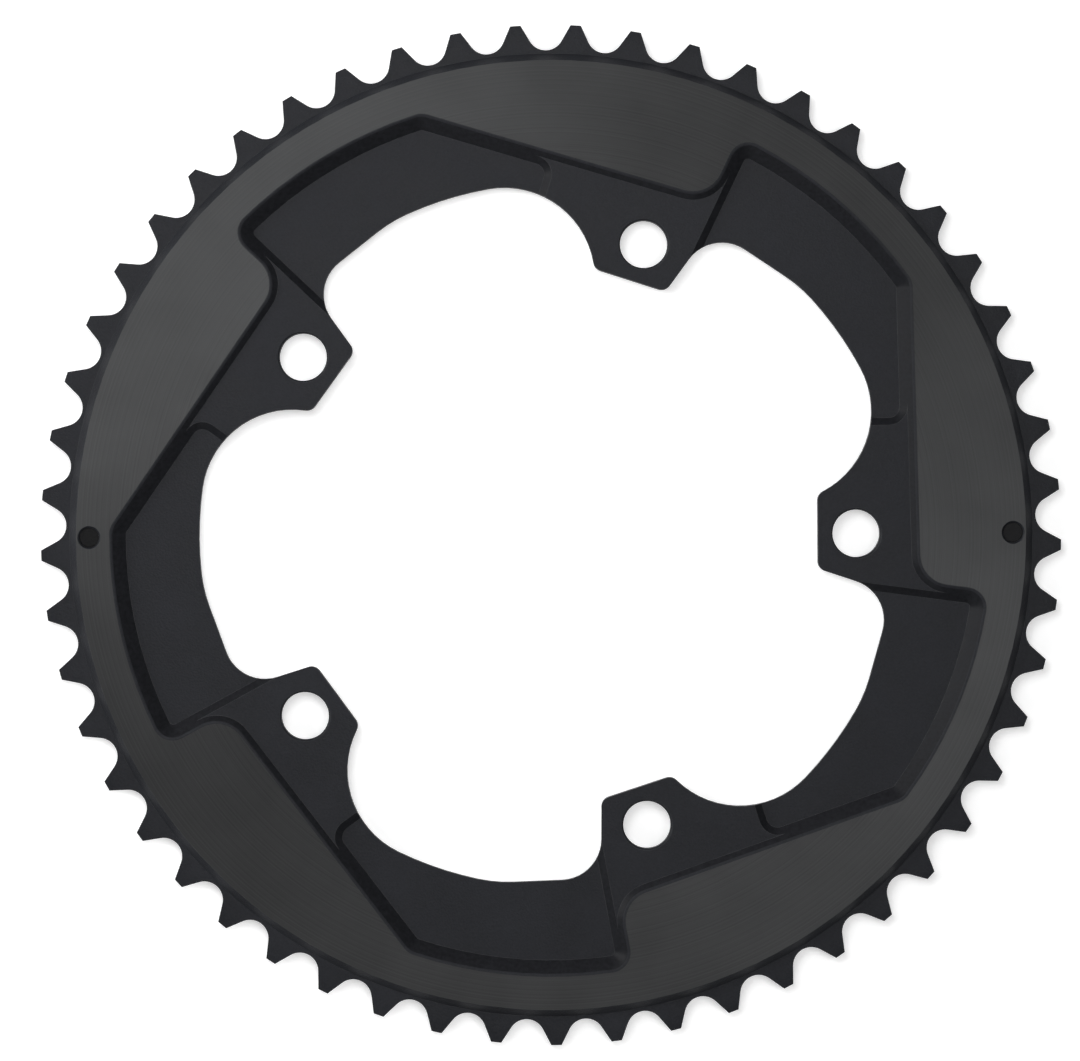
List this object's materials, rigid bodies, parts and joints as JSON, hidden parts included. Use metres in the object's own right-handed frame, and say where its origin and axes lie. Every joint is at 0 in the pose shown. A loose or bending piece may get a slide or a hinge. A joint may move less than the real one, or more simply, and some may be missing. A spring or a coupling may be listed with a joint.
{
  "type": "bicycle chainring",
  "caption": "Flat aluminium chainring with a toothed rim, raised swept pads, shallow pockets and bolt lugs round a wide central opening; drives a roller chain from a crank.",
  "frame": {"origin": "centre of the bolt circle, on the plane of the inboard face", "axes": "+Z along the ring's axis, out of the outboard face; +X through the first bolt hole"},
  "size_m": [0.2176, 0.2175, 0.0056],
  "materials": {
    "ring_aluminium": "black anodised, blasted in the pockets and on the teeth, turned on the raised face",
    "pin_steel": "blackened turned steel"
  },
  "bodies": {
    "root": {"chainring": "ring_aluminium", "shift_pins": "pin_steel"}
  },
  "joints": []
}
